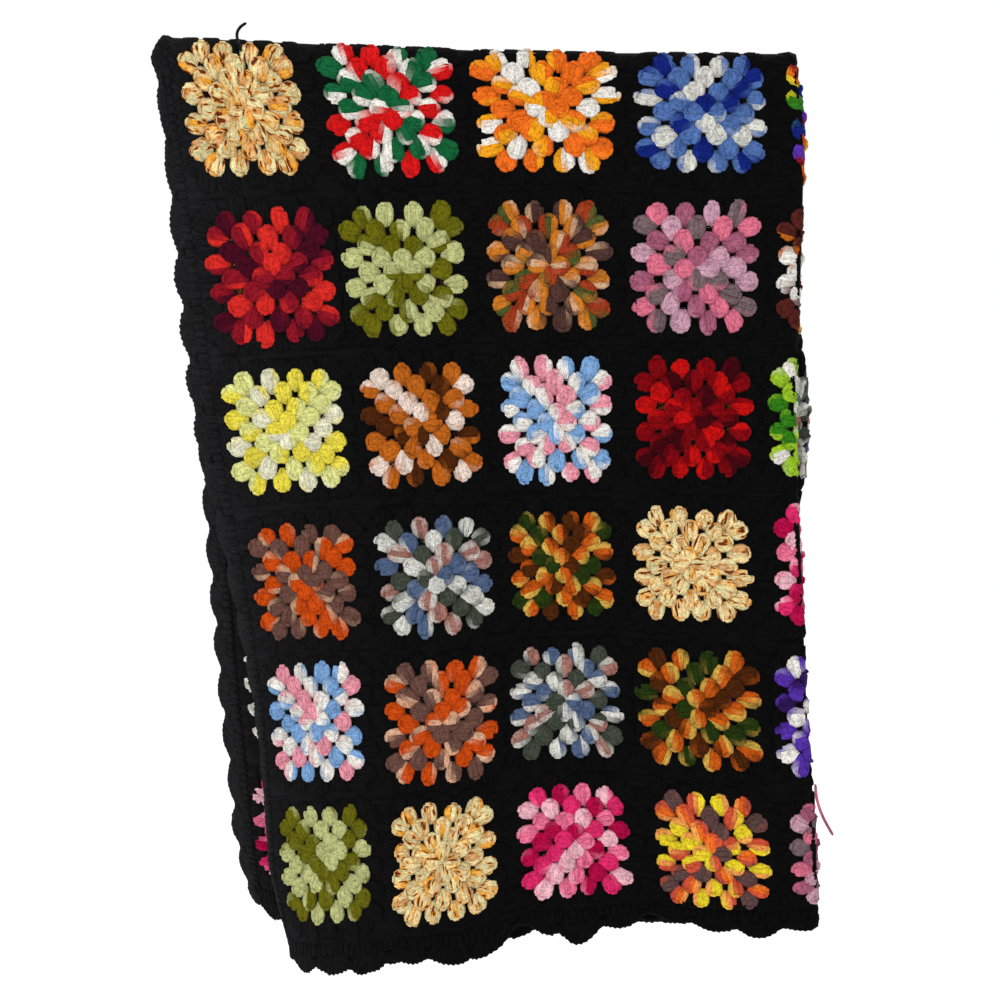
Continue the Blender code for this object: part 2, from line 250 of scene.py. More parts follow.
def swing(column, row):
    """How far all the layers stand back: a turned left side, one bell-shaped crease and one long wave."""
    left = LEFT_SWING * (row / HEM_ROW) ** LEFT_SWING_POWER
    left *= eased((LEFT_SWING_END - column) / LEFT_SWING_COLUMNS)
    crease = CREASE_DEPTH * np.exp(-(((column - CREASE_COLUMN) / CREASE_HALF_WIDTH) ** 2))
    crease *= eased((row - CREASE_START_ROW) / CREASE_GROWTH_ROWS)
    flute = FLUTE * row / HEM_ROW * np.sin(2 * math.pi * (column / FLUTE_COLUMNS + FLUTE_PHASE))
    return left + crease + flute


def hem_curl(column, row):
    """How far the front hem's fans stand up from an even hem: bell-shaped curls, only past the squares."""
    place_of, width, height = np.array(HEM_CURLS).T
    bells = np.exp(-(((column[:, None] - place_of) / width) ** 2))
    return bells @ height / 1000.0 * eased((row - CURL_START_ROW) / CURL_ROWS)


def lengthwise_fold(across):
    """Half a turn of a small circle between two straight runs: place beside it, and bend radius above."""
    past = across - (EDGING + FOLD_COLUMN * SQUARE)
    angle = np.clip(past / FOLD_RADIUS, -math.pi / 2, math.pi / 2)
    straight = np.maximum(np.abs(past) - FOLD_ARC, 0.0)
    beside = FOLD_RADIUS * (np.cos(angle) - 1.0) - straight
    radius = INNER_RADIUS + FOLD_RADIUS * (1.0 - np.sin(angle))
    return beside, radius


def hung(across, along):
    """Place of the cloth's middle surface: half a turn over the line, then straight down either side."""
    beside, radius = lengthwise_fold(across)
    column = FOLD_COLUMN + beside / SQUARE
    from_top = along - LENGTH / 2
    turn = np.clip(from_top / radius, -math.pi / 2, math.pi / 2)
    drop = np.maximum(np.abs(from_top) - radius * np.abs(turn), 0.0)
    row = drop / SQUARE
    behind = from_top > 0
    side, droop, facing = np.where(behind, hang_back(column, row), hang_front(column, row))
    corner = CORNER_PULL * eased((row - CORNER_ROW) / CORNER_ROWS)
    corner *= eased((CORNER_COLUMN - column) / CORNER_COLUMNS)
    lean = np.where(behind, BACK_LEAN, FRONT_LEAN) * row / HEM_ROW
    phase = column / LEAN_WAVE_COLUMNS + np.where(behind, BACK_LEAN_PHASE, FRONT_LEAN_PHASE)
    lean *= LEAN_SHARE + LEAN_WAVE * np.sin(2 * math.pi * phase)
    curl = np.where(behind, 0.0, LEFT_CURL) * (row / HEM_ROW) ** 2
    curl *= np.clip(LEFT_CURL_COLUMNS - column, 0.0, LEFT_CURL_COLUMNS) ** 2
    fans = np.maximum(-column, 0.0) * SQUARE * (1.0 - RIDGE_TUCK * np.cos(turn))
    x = side - fans * facing + corner
    y = (radius + lean) * np.sin(turn) + swing(column, row) + curl
    y += fans * np.sqrt(1.0 - facing**2) * eased(row)
    inner = (OUTER_RADIUS - radius) / LAYER_PITCH
    z = AXIS_HEIGHT + radius * np.cos(turn) - drop - droop + corner
    z += inner * INNER_LIFT * row / HEM_ROW
    z += np.where(behind, 0.0, 1.0 - inner) * hem_curl(column, row)
    return np.stack([x, y, z], axis=1)


def place(across, along, out):
    """Points at a height above the cloth's right side, along the cross product of its two directions."""
    step = 0.0004
    here = hung(across, along)
    sideways = hung(across + step, along) - here
    lengthways = hung(across, along + step) - here
    normal = np.cross(sideways, lengthways)
    normal /= np.linalg.norm(normal, axis=1, keepdims=True)
    return here + normal * out[:, None]


def edging_depth(distance):
    """Depth of the fan edging along a side: a row of rounded arches, the sine's size to a power."""
    wave = np.abs(np.sin(math.pi * FANS_PER_SQUARE * distance / SQUARE))
    return EDGING - FAN_DEPTH + FAN_DEPTH * wave**FAN_ROUNDNESS


# Yarns -------------------------------------------------------------------------------------------

# Colours of the dyed yarns, as red, green and blue from 0 to 255
COLOURS = {
    "black": (11, 11, 12),
    "white": (236, 232, 224),
    "ivory": (228, 226, 196),
    "cream": (242, 220, 162),
    "biscuit": (219, 202, 148),
    "apricot": (246, 162, 84),
    "dark brown": (76, 36, 8),
    "maroon": (86, 34, 28),
    "umber": (82, 54, 48),
    "gold": (246, 164, 28),
    "buttermilk": (236, 224, 168),
    "amber": (204, 112, 40),
    "ochre": (208, 122, 36),
    "tan": (210, 172, 138),
    "peach": (224, 176, 144),
    "ash white": (216, 216, 208),
    "rose white": (234, 214, 200),
    "fleck amber": (222, 142, 50),
    "fleck brown": (104, 48, 28),
    "orange": (242, 112, 30),
    "bright orange": (202, 74, 14),
    "chestnut": (190, 100, 26),
    "rust": (162, 58, 28),
    "coral": (216, 84, 56),
    "yellow": (240, 216, 44),
    "pumpkin": (200, 88, 18),
    "straw": (214, 170, 74),
    "soft yellow": (234, 218, 72),
    "pale yellow": (222, 224, 140),
    "lime": (156, 198, 44),
    "olive": (104, 102, 14),
    "sage": (190, 194, 130),
    "green": (20, 98, 56),
    "leaf": (52, 128, 24),
    "moss": (78, 86, 40),
    "dark green": (36, 54, 12),
    "grey green": (66, 72, 62),
    "baby blue": (124, 166, 214),
    "denim": (80, 98, 130),
    "royal blue": (17, 35, 122),
    "periwinkle": (80, 112, 172),
    "violet": (88, 50, 170),
    "dark purple": (46, 20, 84),
    "mauve": (166, 92, 118),
    "dusty mauve": (106, 73, 64),
    "pale mauve": (206, 158, 178),
    "taupe": (120, 100, 104),
    "dusk": (96, 70, 68),
    "terracotta": (160, 110, 100),
    "pink": (226, 116, 142),
    "soft pink": (234, 150, 166),
    "rose pink": (238, 114, 150),
    "pale pink": (244, 186, 198),
    "hot pink": (226, 44, 108),
    "cerise": (178, 8, 68),
    "crimson": (144, 20, 36),
    "burgundy": (72, 8, 30),
    "red": (214, 22, 24),
    "bright red": (220, 44, 38),
    "wine": (66, 2, 12),
    "ruby": (132, 4, 14),
    "scarlet": (198, 14, 14),
}

# Each yarn is dyed in short stretches, a colour and how many stitches it lasts, that come again after
# twelve stitches or so: one side of a square's last round.
YARNS = {
    "sand": (("cream", 0.8), ("gold", 0.8), ("biscuit", 1.8), ("buttermilk", 1.3), ("amber", 0.5)),
    "barley": (("cream", 1.6), ("gold", 0.8), ("buttermilk", 1.4), ("biscuit", 1.4), ("amber", 0.3)),
    "holly": (("red", 4.6), ("white", 1.5), ("green", 4.4), ("white", 1.5)),
    "marigold": (("white", 3.0), ("gold", 2.0), ("orange", 5.0), ("gold", 2.0)),
    "ocean": (("royal blue", 3.0), ("periwinkle", 3.0), ("ash white", 3.0), ("periwinkle", 3.0)),
    "rainbow": (("crimson", 1.5), ("violet", 2.0), ("royal blue", 2.5), ("leaf", 2.5), ("yellow", 1.5),
                ("orange", 2.0)),
    "cherry": (("burgundy", 4.0), ("crimson", 2.4), ("bright red", 3.6), ("crimson", 2.4)),
    "meadow": (("olive", 5.9), ("sage", 6.1)),
    "autumn": (("rust", 2.4), ("moss", 1.5), ("ochre", 1.7), ("tan", 0.6), ("umber", 3.3), ("ochre", 1.6),
               ("tan", 0.9)),
    "heather": (("pink", 3.0), ("mauve", 3.0), ("pale mauve", 3.0), ("taupe", 3.0)),
    "thistle": (("mauve", 3.0), ("pink", 3.0), ("taupe", 3.0), ("pale mauve", 3.0)),
    "cocoa": (("maroon", 4.0), ("white", 4.5), ("chestnut", 1.5), ("maroon", 2.0)),
    "lemon": (("pale yellow", 3.0), ("ivory", 3.0), ("soft yellow", 5.0), ("pale yellow", 1.0)),
    "fox": (("rose white", 3.0), ("chestnut", 3.0), ("dark brown", 3.0), ("chestnut", 3.0)),
    "nursery": (("white", 1.8), ("soft pink", 3.7), ("white", 2.4), ("baby blue", 4.1)),
    "berry": (("ruby", 3.2), ("scarlet", 3.2), ("ruby", 3.2), ("wine", 3.3)),
    "ember": (("bright orange", 5.4), ("tan", 0.5), ("dusty mauve", 5.6), ("tan", 0.5)),
    "clover": (("white", 2.0), ("lime", 2.0), ("leaf", 5.0), ("lime", 3.0)),
    "brick": (("bright orange", 5.0), ("peach", 1.0), ("dusty mauve", 5.0), ("peach", 1.0)),
    "harbour": (("grey green", 3.1), ("ash white", 0.4), ("terracotta", 2.3), ("ash white", 0.5),
                ("denim", 2.9), ("ash white", 2.8)),
    "pebble": (("grey green", 3.8), ("ash white", 0.5), ("terracotta", 2.2), ("ash white", 0.6),
               ("denim", 3.0), ("ash white", 1.9)),
    "forest": (("dark green", 3.2), ("straw", 1.0), ("pumpkin", 1.6), ("dark brown", 3.2),
               ("pumpkin", 1.8), ("straw", 1.2)),
    "oatmeal": (("cream", 2.4), ("gold", 0.4), ("buttermilk", 1.6), ("amber", 0.4)),
    "peony": (("hot pink", 2.5), ("pale pink", 3.5), ("rose pink", 3.0), ("cerise", 3.0)),
    "iris": (("white", 2.5), ("violet", 3.0), ("dark purple", 3.0), ("violet", 3.5)),
    "blossom": (("hot pink", 3.0), ("cerise", 3.0), ("rose pink", 3.0), ("pale pink", 3.0)),
    "sunset": (("dusk", 3.0), ("coral", 1.6), ("apricot", 0.8), ("yellow", 3.0), ("apricot", 1.4),
               ("orange", 1.0), ("coral", 1.2)),
    "snow": (("white", 6.0), ("ash white", 6.0)),
}
FLECKED = {"sand": 0.98, "barley": 0.94, "oatmeal": 0.96}      # how fully these yarns are flecked
PAINTED_LIGHT_MORE = 4.2            # painted light: how many times lighter the black is painted at the left selvage
PAINTED_LIGHT_REACH = 0.07          # and how fast that dies away from it, in metres
COLOUR_STRAY = 0.2          # how far the tension of a stitch moves the colours along, in stitches
COLOUR_CHANGE = 0.5         # how long one colour takes to turn into the next, in stitches

# The squares that show in front. starts is how far along its yarn each of the four coloured rounds
# begins, at its top left corner; widen and heighten are shares of the plain size; right and up are how
# far the coloured rounds sit off the middle in millimetres.
Square = namedtuple("Square", "row column yarn starts widen heighten right up")
FRONT_SQUARES = (
    Square(1, 1, "sand", (0.0, 1.3, 3.1, 2.2), 0.99, 0.97, -3, 3),
    Square(1, 2, "holly", (6.0, 8.0, 11.0, 10.4), 1.04, 1.04, -3, 3),
    Square(1, 3, "marigold", (4.0, 0.0, 0.0, 10.0), 1.08, 1.02, -3, 4),
    Square(1, 4, "ocean", (0.0, 6.0, 3.0, 0.5), 1.10, 0.95, 1, 3),
    Square(1, 5, "rainbow", (0.0, 3.0, 6.0, 0.0), 1.00, 1.00, 8, 3),
    Square(2, 1, "cherry", (7.0, 4.0, 4.0, 0.8), 1.07, 1.02, 1, -2),
    Square(2, 2, "meadow", (7.0, 0.0, 1.0, 3.0), 1.06, 1.04, -4, -1),
    Square(2, 3, "autumn", (7.0, 6.5, 10.0, 2.6), 1.02, 1.01, -3, 1),
    Square(2, 4, "heather", (3.0, 0.0, 6.0, 0.0), 1.07, 1.05, -1, 0),
    Square(2, 5, "cocoa", (0.0, 6.0, 0.0, 0.0), 1.00, 1.00, -2, 0),
    Square(3, 1, "lemon", (8.0, 6.0, 3.0, 0.0), 1.05, 0.96, -1, 0),
    Square(3, 2, "fox", (0.0, 0.0, 0.0, 0.0), 1.03, 0.96, -2, -1),
    Square(3, 3, "nursery", (0.0, 0.0, 0.0, 0.0), 0.99, 1.03, -2, -1),
    Square(3, 4, "berry", (6.0, 6.0, 9.0, 0.0), 1.02, 0.98, -2, 0),
    Square(3, 5, "clover", (0.0, 3.0, 0.0, 0.0), 1.00, 1.00, -6, 0),
    Square(4, 1, "ember", (6.0, 0.0, 5.3, 11.3), 0.97, 0.94, -3, 0),
    Square(4, 2, "harbour", (3.0, 0.0, 6.0, 0.0), 1.08, 0.95, -2, 0),
    Square(4, 3, "forest", (3.0, 3.0, 0.0, 0.0), 0.97, 0.92, -3, 0),
    Square(4, 4, "oatmeal", (0.0, 2.6, 1.2, 3.4), 1.01, 0.93, -4, 1),
    Square(4, 5, "peony", (0.0, 3.0, 6.0, 0.0), 1.00, 1.00, -3, 0),
    Square(5, 1, "nursery", (3.0, 2.0, 2.0, 2.0), 0.95, 1.01, -5, 3),
    Square(5, 2, "brick", (1.0, 9.0, 7.5, 6.0), 1.08, 1.05, -2, -1),
    Square(5, 3, "pebble", (3.2, 9.6, 0.0, 3.2), 1.04, 0.99, -4, 2),
    Square(5, 4, "forest", (3.0, 0.0, 9.0, 6.0), 1.08, 1.00, -4, 2),
    Square(5, 5, "iris", (0.0, 3.0, 6.0, 0.0), 1.00, 1.00, -9, 0),
    Square(6, 1, "meadow", (6.0, 3.0, 3.0, 3.0), 0.98, 0.94, -4, 5),
    Square(6, 2, "barley", (1.7, 0.4, 2.9, 0.8), 0.99, 1.02, -4, 1),
    Square(6, 3, "blossom", (3.0, 6.0, 9.0, 0.0), 0.98, 0.99, -3, 0),
    Square(6, 4, "sunset", (9.0, 9.0, 9.0, 0.0), 0.99, 1.10, -1, -3),
    Square(6, 5, "thistle", (0.0, 3.0, 6.0, 0.0), 1.00, 1.00, -3, 0),
)


def linear_light(colour):
    """Display colour from 0 to 255 turned into the share of light that the yarn gives back."""
    share = np.asarray(colour, dtype=float) / 255.0
    return np.where(share <= 0.04045, share / 12.92, ((share + 0.055) / 1.055) ** 2.4)


def yarn_colours(yarn, places):
    """Colours at places along a dyed yarn: each stretch's own colour, eased into the next one's."""
    stretches = YARNS[yarn]
    colours = np.array([linear_light(COLOURS[name]) for name, _ in stretches])
    ends = np.cumsum([length for _, length in stretches])
    places = np.mod(places, ends[-1])
    index = np.searchsorted(ends, places, side="right")
    blend = eased((places - ends[index]) / COLOUR_CHANGE + 1.0)[..., None]
    return colours[index] * (1.0 - blend) + colours[(index + 1) % len(ends)] * blend


def black_with_painted_light(across):
    """The black yarn with painted light, lighter towards the left selvage: black * (1 + more * exp(-across
    / reach)).
    """
    lightening = 1.0 + PAINTED_LIGHT_MORE * np.exp(-np.maximum(across, 0.0) / PAINTED_LIGHT_REACH)
    return linear_light(COLOURS["black"]) * lightening[:, None]


# Stitches ----------------------------------------------------------------------------------------

# A stitch is a plump strand between its root and its tip. All arrays have one row for each stitch.
Stitches = namedtuple(
    "Stitches", "root tip girth depth lift bow root_colour mid_colour tip_colour fleck black")


def gather(parts):
    """Several lots of stitches as one."""
    return Stitches(*(np.concatenate(columns) for columns in zip(*parts)))


def turning(angle):
    """The matrix that turns rows of flat points by an angle."""
    return np.array([[math.cos(angle), math.sin(angle)], [-math.sin(angle), math.cos(angle)]])


def way_and_side(roots, tips):
    """The direction from each root to its tip, the direction across it, and how far apart they are."""
    direction = tips - roots
    length = np.linalg.norm(direction, axis=1, keepdims=True)
    direction = direction / length
    return direction, np.stack([direction[:, 1], -direction[:, 0]], axis=1), length


def round_clusters(number):
    """Roots and tips of one round's clusters, in order round the square, from the square's middle.

    Round n has n clusters to a side, one pitch apart, pointing outwards; those at the corners lean
    away from the side's middle. One side is worked out and turned by quarters.
    """
    sideways = (np.arange(number) - (number - 1) / 2) * CLUSTER_PITCH
    tip_radius = np.full(number, TIP_RADII[number - 1])
    corner = np.zeros(number)
    if number > 1:
        corner[0] = -1.0
        corner[-1] = 1.0
    root_radius = tip_radius - CLUSTER_HEIGHT + FIRST_ROUND_SHORTER * (number == 1)
    tip_radius = tip_radius - CORNER_TIP_IN * np.abs(corner)
    tips = np.stack([sideways + corner * CORNER_TIP_OUT, tip_radius], axis=1)
    roots = np.stack([sideways - corner * CORNER_SLIDE, root_radius], axis=1)
    turns = [turning(-quarter * math.pi / 2) for quarter in range(4)]
    return np.concatenate([roots @ turn for turn in turns]), np.concatenate([tips @ turn for turn in turns])


def cluster_stitches(roots, tips):
    """Three stitches for each cluster, fanned out sideways; the outer two are shorter and bow out."""
    direction, sideways, _ = way_and_side(roots, tips)
    fan = np.array([-1.0, 0.0, 1.0])[None, :, None]
    root = roots[:, None] + fan * ROOT_SPREAD * sideways[:, None]
    tip = tips[:, None] + fan * TIP_SPREAD * sideways[:, None]
    tip = tip - np.abs(fan) * SIDE_SHORTER * direction[:, None]
    return root.reshape(-1, 2), tip.reshape(-1, 2), np.tile(fan.ravel(), len(roots))


def top_loops(roots, tips):
    """A short strand for each cluster that arches over the tips of its three stitches."""
    direction, sideways, _ = way_and_side(roots, tips)
    foot = tips - LOOP_BELOW * direction
    return foot - LOOP_REACH * sideways, foot + LOOP_REACH * sideways


def square_stitches(column, row, square):
    """All the stitches of one square, shifted and stretched as it was worked, with its yarn's colours.

    A coloured round's stitches follow each other along the yarn, one stitch apart, with a little stray.
    The shift, stretch and lean fade out between the coloured rounds and the square's outline.
    """
    lots = []
    middle = np.array([EDGING + (column + 0.5) * SQUARE, EDGING + (row + 0.5) * SQUARE])
    stretch = np.array([square.widen, square.heighten])
    shift = np.array([square.right, square.up]) / 1000.0
    lean = math.radians(RANDOM.normal(0.0, LEAN_STRAY))
    flecked = FLECKED.get(square.yarn, 0.0)
    for number in range(1, len(TIP_RADII) + 1):
        roots, tips = round_clusters(number)
        roots = roots + RANDOM.normal(0.0, ROOT_STRAY, roots.shape)
        tips = tips + RANDOM.normal(0.0, TIP_STRAY, tips.shape)
        root, tip, fan = cluster_stitches(roots, tips)
        tip = tip + RANDOM.normal(0.0, STITCH_TIP_STRAY, tip.shape)
        count = len(root)
        if number <= LAST_COLOUR_ROUND:
            order = square.starts[number - 1] + np.arange(count)
            order = order + RANDOM.normal(0.0, COLOUR_STRAY, count)
            root_colour = yarn_colours(square.yarn, order)
            mid_colour = yarn_colours(square.yarn, order + MID_COLOUR_AHEAD)
            tip_colour = yarn_colours(square.yarn, order + TIP_COLOUR_AHEAD)
        else:
            # the black rounds, with painted light towards the left selvage
            root_colour = black_with_painted_light(middle[0] + root[:, 0])
            mid_colour = tip_colour = root_colour
        shade = RANDOM.normal(1.0, SHADE_STRAY, (count, 1))
        plump = np.repeat(RANDOM.normal(1.0, PLUMP_STRAY, len(roots)), 3)
        if square.row == 1:
            plump = plump * TOP_ROW_PLUMPER
        lots.append(Stitches(
            root=root,
            tip=tip,
            girth=STITCH_GIRTH * plump * RANDOM.normal(1.0, GIRTH_STRAY, count),
            depth=STITCH_DEPTH * RANDOM.normal(1.0, DEPTH_STRAY, count),
            lift=RANDOM.normal(STITCH_LIFT, LIFT_STRAY, count) - SIDE_LIFT_LESS * np.abs(fan),
            bow=fan * SIDE_BOW,
            root_colour=root_colour * shade,
            mid_colour=mid_colour * shade,
            tip_colour=tip_colour * shade,
            fleck=np.full(count, flecked * (number <= LAST_COLOUR_ROUND)),
            black=np.full(count, number > LAST_COLOUR_ROUND),
        ))
        if number <= LAST_COLOUR_ROUND and column < OUTER_COLUMNS:
            start, end = top_loops(roots, tips)
            loops = len(roots)
            lots.append(Stitches(
                root=start,
                tip=end,
                girth=LOOP_GIRTH * RANDOM.normal(1.0, LOOP_STRAY, loops),
                depth=LOOP_GIRTH * RANDOM.normal(1.0, LOOP_STRAY, loops),
                lift=LOOP_LIFT * RANDOM.normal(1.0, LOOP_BEND_STRAY, loops),
                bow=LOOP_BOW * RANDOM.normal(-1.0, LOOP_BEND_STRAY, loops),
                # the loop's colours, with a painted highlight
                root_colour=tip_colour[0::3] * LOOP_PAINTED_HIGHLIGHT,
                mid_colour=yarn_colours(square.yarn, order[1::3] + LOOP_AHEAD) * LOOP_PAINTED_HIGHLIGHT,
                tip_colour=tip_colour[2::3] * LOOP_PAINTED_HIGHLIGHT,
                fleck=np.full(loops, flecked),
                black=np.zeros(loops, dtype=bool),
            ))
    stitches = gather(lots)
    points = []
    for local in (stitches.root, stitches.tip):
        reach = np.max(np.abs(local), axis=1, keepdims=True)
        hold = np.clip((SQUARE / 2 - reach) / (SQUARE / 2 - COLOUR_REACH), 0.0, 1.0)
        worked_local = (local * stretch + shift) @ turning(lean)
        points.append(middle + local + hold * (worked_local - local))
    return stitches._replace(root=points[0], tip=points[1])


def strand_template(stations, sides):
    """One closed strand: rings of points between two end points.

    Returns each point's share of the way along, its angle and its girth, the faces, and for each face
    corner its place along and round the strand, for the lay of the yarn.
    """
    shares, girths = np.array(stations).T
    angles = np.arange(sides) * 2 * math.pi / sides
    along = np.concatenate([[0.0], np.repeat(shares, sides), [1.0]])
    round_it = np.concatenate([[0.0], np.tile(angles, len(shares)), [0.0]])
    girth = np.concatenate([[0.0], np.repeat(girths, sides), [0.0]])
    faces = []
    lay = []
    last = 1 + sides * len(shares)
    for side in range(sides):
        after = (side + 1) % sides
        faces.append((0, 1 + side, 1 + after))
        lay.append(((side + 0.5) / sides, side / sides, (side + 1) / sides))
        for ring in range(len(shares) - 1):
            low = 1 + ring * sides
            high = low + sides
            faces.append((low + side, high + side, high + after, low + after))
            lay.append((side / sides, side / sides, (side + 1) / sides, (side + 1) / sides))
        high = 1 + (len(shares) - 1) * sides
        faces.append((high + after, high + side, last))
        lay.append(((side + 1) / sides, side / sides, (side + 0.5) / sides))
    return along, round_it, girth, faces, lay


FULL_STRAND = strand_template(((0.04, 0.52), (0.36, 0.88), (0.76, 1.08), (0.96, 0.78)), 6)
PLAIN_STRAND = strand_template(((0.06, 0.60), (0.50, 1.0), (0.92, 0.80)), 4)


def stitch_mesh(name, stitches, template, materials):
    """All the stitches as one mesh, hung on the cloth.

    A point of a strand stands at root + share * (tip - root), moved sideways by girth * cos(angle) and
    off the cloth by depth * sin(angle); bow and lift bend its middle by sin(pi * share). Its colour runs
    from the root's over the middle's to the tip's, with painted shade in the creases at both sides by
    cos(angle) squared, a painted highlight on the crown, and painted shade towards the root.
    """
    along, round_it, girth, faces, lay = template
    count = len(stitches.root)
    direction, sideways, length = way_and_side(stitches.root, stitches.tip)
    arch = np.sin(math.pi * along)
    aside = stitches.girth[:, None] * girth * np.cos(round_it) + stitches.bow[:, None] * arch
    out = stitches.depth[:, None] * girth * np.sin(round_it) + stitches.lift[:, None] * arch
    out = out - ROOT_SINK + (ROOT_SINK + TIP_RISE) * along
    flat = stitches.root[:, None] + (along * length)[..., None] * direction[:, None]
    flat = flat + aside[..., None] * sideways[:, None]
    points = place(flat[..., 0].ravel(), flat[..., 1].ravel(), out.ravel())
    rising = np.clip(2.0 * along, 0.0, 1.0)[:, None]
    topping = np.clip(2.0 * along - 1.0, 0.0, 1.0)[:, None]
    colour = stitches.root_colour[:, None] * (1.0 - rising)
    colour = colour + stitches.mid_colour[:, None] * (rising - topping)
    colour = colour + stitches.tip_colour[:, None] * topping
    # painted shade in the creases and towards the root, and a painted highlight on the crown
    crease = 1.0 + CROWN_PAINTED_HIGHLIGHT - CREASE_PAINTED_SHADE * np.cos(round_it) ** 2
    crease = crease * (ROOT_SHADE + (1.0 - ROOT_SHADE) * eased(along / ROOT_SHADE_REACH))
    colour = colour * crease[:, None]
    sizes = np.array([len(face) for face in faces])
    corners = np.concatenate([np.array(face) for face in faces])
    all_corners = (corners[None, :] + np.arange(count)[:, None] * len(along)).ravel()
    turns = np.concatenate([np.array(face) for face in lay])
    start = RANDOM.uniform(0.0, 1.0, (count, 1))
    lay_across = (turns[None, :] + start).ravel()
    lay_along = (along[corners][None, :] * length + start).ravel()
    piece = joined_mesh(name, points, all_corners, np.tile(sizes, count), colour.reshape(-1, 3),
                        np.stack([lay_across, lay_along], axis=1), materials,
                        np.repeat(stitches.black, len(faces)))
    fleck = piece.data.attributes.new("fleck", "FLOAT", "POINT")
    fleck.data.foreach_set("value", np.repeat(stitches.fleck, len(along)).astype(np.float32))
    return piece


def joined_mesh(name, points, corners, sizes, colours, lay, materials, material_index=None):
    """A mesh from whole arrays, with its yarn colours and the lay of the yarn."""
    mesh = bpy.data.meshes.new(name)
    mesh.vertices.add(len(points))
    mesh.vertices.foreach_set("co", points.astype(np.float32).ravel())
    mesh.loops.add(len(corners))
    mesh.loops.foreach_set("vertex_index", corners.astype(np.int32))
    starts = np.concatenate([[0], np.cumsum(sizes)[:-1]])
    mesh.polygons.add(len(sizes))
    mesh.polygons.foreach_set("loop_start", starts.astype(np.int32))
    mesh.update(calc_edges=True)
    mesh.validate()
    mesh.shade_smooth()
    rgba = np.concatenate([np.clip(colours, 0.0, 1.0), np.ones((len(colours), 1))], axis=1)
    attribute = mesh.color_attributes.new("yarn_colour", "FLOAT_COLOR", "POINT")
    attribute.data.foreach_set("color", rgba.astype(np.float32).ravel())
    layer = mesh.uv_layers.new(name="yarn_lay")
    layer.uv.foreach_set("vector", lay.astype(np.float32).ravel())
    piece = bpy.data.objects.new(name, mesh)
    bpy.context.scene.collection.objects.link(piece)
    for material in materials:
        mesh.materials.append(material)
    if material_index is not None:
        mesh.polygons.foreach_set("material_index", material_index.astype(np.int32))
    return piece


# Pieces ------------------------------------------------------------------------------------------

# Places of the net's cloth lines within a square, from its middle, in squares. The narrow bands between
# lines that lie close together cross at the open spaces between clusters.
NET_LINES = (-0.5, -0.38, -0.266, -0.224, -0.107, -0.065, 0.065, 0.107, 0.224, 0.266, 0.38)
SPACE_BANDS = (2, 4, 6, 8)
INNER_BANDS = (4, 6)
NET_OUT = 0.0002            # the net stands midway through the thickness of the stitches
BEND_STEP = 0.006
FOLD_STEPS = 6
EDGE_SHARES = (1.0, 0.55)   # where the edging's outer lines stand, in shares of its depth
CORNER_ROUNDING = 0.28
RIM_INSET = 0.002           # the net stops this far short of the edging's depth
LINE_CLEARANCE = 0.0015     # a plain line nearer than this to a bend's line is left out
STRAY_BAND = -1             # the band of a line that belongs to no square's pattern


def net_lines(count, bends):
    """Cloth lines over a run of squares, with finer ones at the bends; and which band each starts."""
    lines = (np.arange(count)[:, None] + 0.5 + np.array(NET_LINES)).ravel() * SQUARE
    bands = np.tile(np.arange(len(NET_LINES)), count)
    clear = np.min(np.abs(lines[:, None] - bends[None, :]), axis=1) > LINE_CLEARANCE
    lines = np.concatenate([lines[clear], bends, [count * SQUARE]])
    bands = np.concatenate([bands[clear], np.full(len(bends) + 1, STRAY_BAND)])
    order = np.argsort(lines)
    return lines[order], bands[order]


def carried_bands(bands):
    """The band that each gap between lines lies in: a bend's line carries on the band it stands in."""
    carried = bands.copy()
    for i in range(1, len(carried)):
        if carried[i] < 0:
            carried[i] = carried[i - 1]
    return carried


def rimmed_lines(lines, bands):
    """Lines with the edging's lines at both ends: their places, shares of its depth, and bands between."""
    rim = np.array(EDGE_SHARES)
    pad = np.full(len(rim), STRAY_BAND)
    places = np.concatenate([np.zeros(len(rim)), lines, np.full(len(rim), lines[-1])])
    shares = np.concatenate([-rim, np.zeros(len(lines)), rim[::-1]])
    return places, shares, np.concatenate([pad, carried_bands(bands)[:-1], pad])


